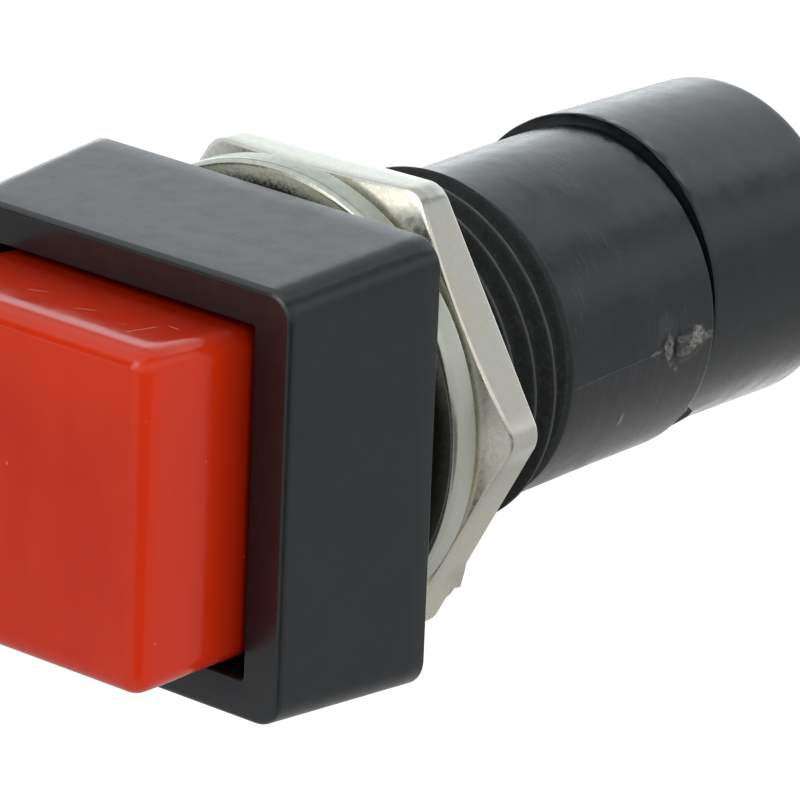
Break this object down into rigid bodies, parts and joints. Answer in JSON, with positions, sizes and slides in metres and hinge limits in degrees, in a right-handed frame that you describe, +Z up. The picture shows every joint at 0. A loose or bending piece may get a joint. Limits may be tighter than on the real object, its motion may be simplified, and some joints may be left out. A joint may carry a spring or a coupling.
{
  "type": "panel pushbutton switch",
  "caption": "Square-bezel panel pushbutton switch with a momentary cap, threaded barrel, hexagonal nut, washer and rear solder lugs.",
  "frame": {"origin": "on the barrel's axis, in the plane of the bezel's back face, which seats on the panel's front", "axes": "+Y along the barrel from the button to the lugs; +Z up; +X to the right for someone who faces the button"},
  "size_m": [0.0174, 0.0402, 0.0158],
  "materials": {
    "housing_black": "satin black moulded plastic",
    "cap_red": "glossy red moulded plastic",
    "rear_black": "satin black moulded plastic",
    "washer_zinc": "zinc-plated steel, slightly mottled",
    "nut_nickel": "nickel-plated, warm tone",
    "plunger_white": "natural moulded plastic",
    "clip_steel": "bright steel",
    "spring_steel": "drawn spring wire",
    "contact_spring_steel": "drawn spring wire",
    "bridge_brass": "rolled brass sheet",
    "contact_silver": "silver contact metal",
    "terminal_tinned": "tinned brass"
  },
  "bodies": {
    "switch_body": {"housing": "housing_black", "rear_housing": "rear_black", "terminal_left": "terminal_tinned", "terminal_right": "terminal_tinned", "fixed_contact_left": "contact_silver", "fixed_contact_right": "contact_silver", "return_spring": "spring_steel"},
    "button": {"button_cap": "cap_red", "plunger": "plunger_white", "retaining_clip": "clip_steel", "contact_spring": "contact_spring_steel"},
    "bridge": {"contact_bridge": "bridge_brass", "moving_contact_left": "contact_silver", "moving_contact_right": "contact_silver"},
    "washer": {"washer": "washer_zinc"},
    "nut": {"panel_nut": "nut_nickel"}
  },
  "joints": [
    {"name": "press", "type": "slide", "parent": "switch_body", "child": "button", "axis": [0, 1, 0], "range_m": [0, 0.002], "stiffness_N_per_m": 400, "springref_m": -0.0025, "deforming": ["return_spring"]},
    {"name": "bridge_lag", "type": "slide", "parent": "button", "child": "bridge", "axis": [0, 1, 0], "range_m": [-0.0006, 0], "deforming": ["contact_spring"]},
    {"name": "washer_slide", "type": "slide", "parent": "switch_body", "child": "washer", "axis": [0, 1, 0], "range_m": [-0.0007, 0.0045]},
    {"name": "nut_spin", "type": "hinge", "parent": "washer", "child": "nut", "pos_m": [0, 0.003, 0], "axis": [0, 1, 0], "range_deg": [-270, 1640]}
  ],
  "couplings": [
    {"joint": "bridge_lag", "follows": "press", "ratio": -0.275},
    {"joint": "nut_spin", "follows": "washer_slide", "rad_per_m": 6283.2}
  ]
}
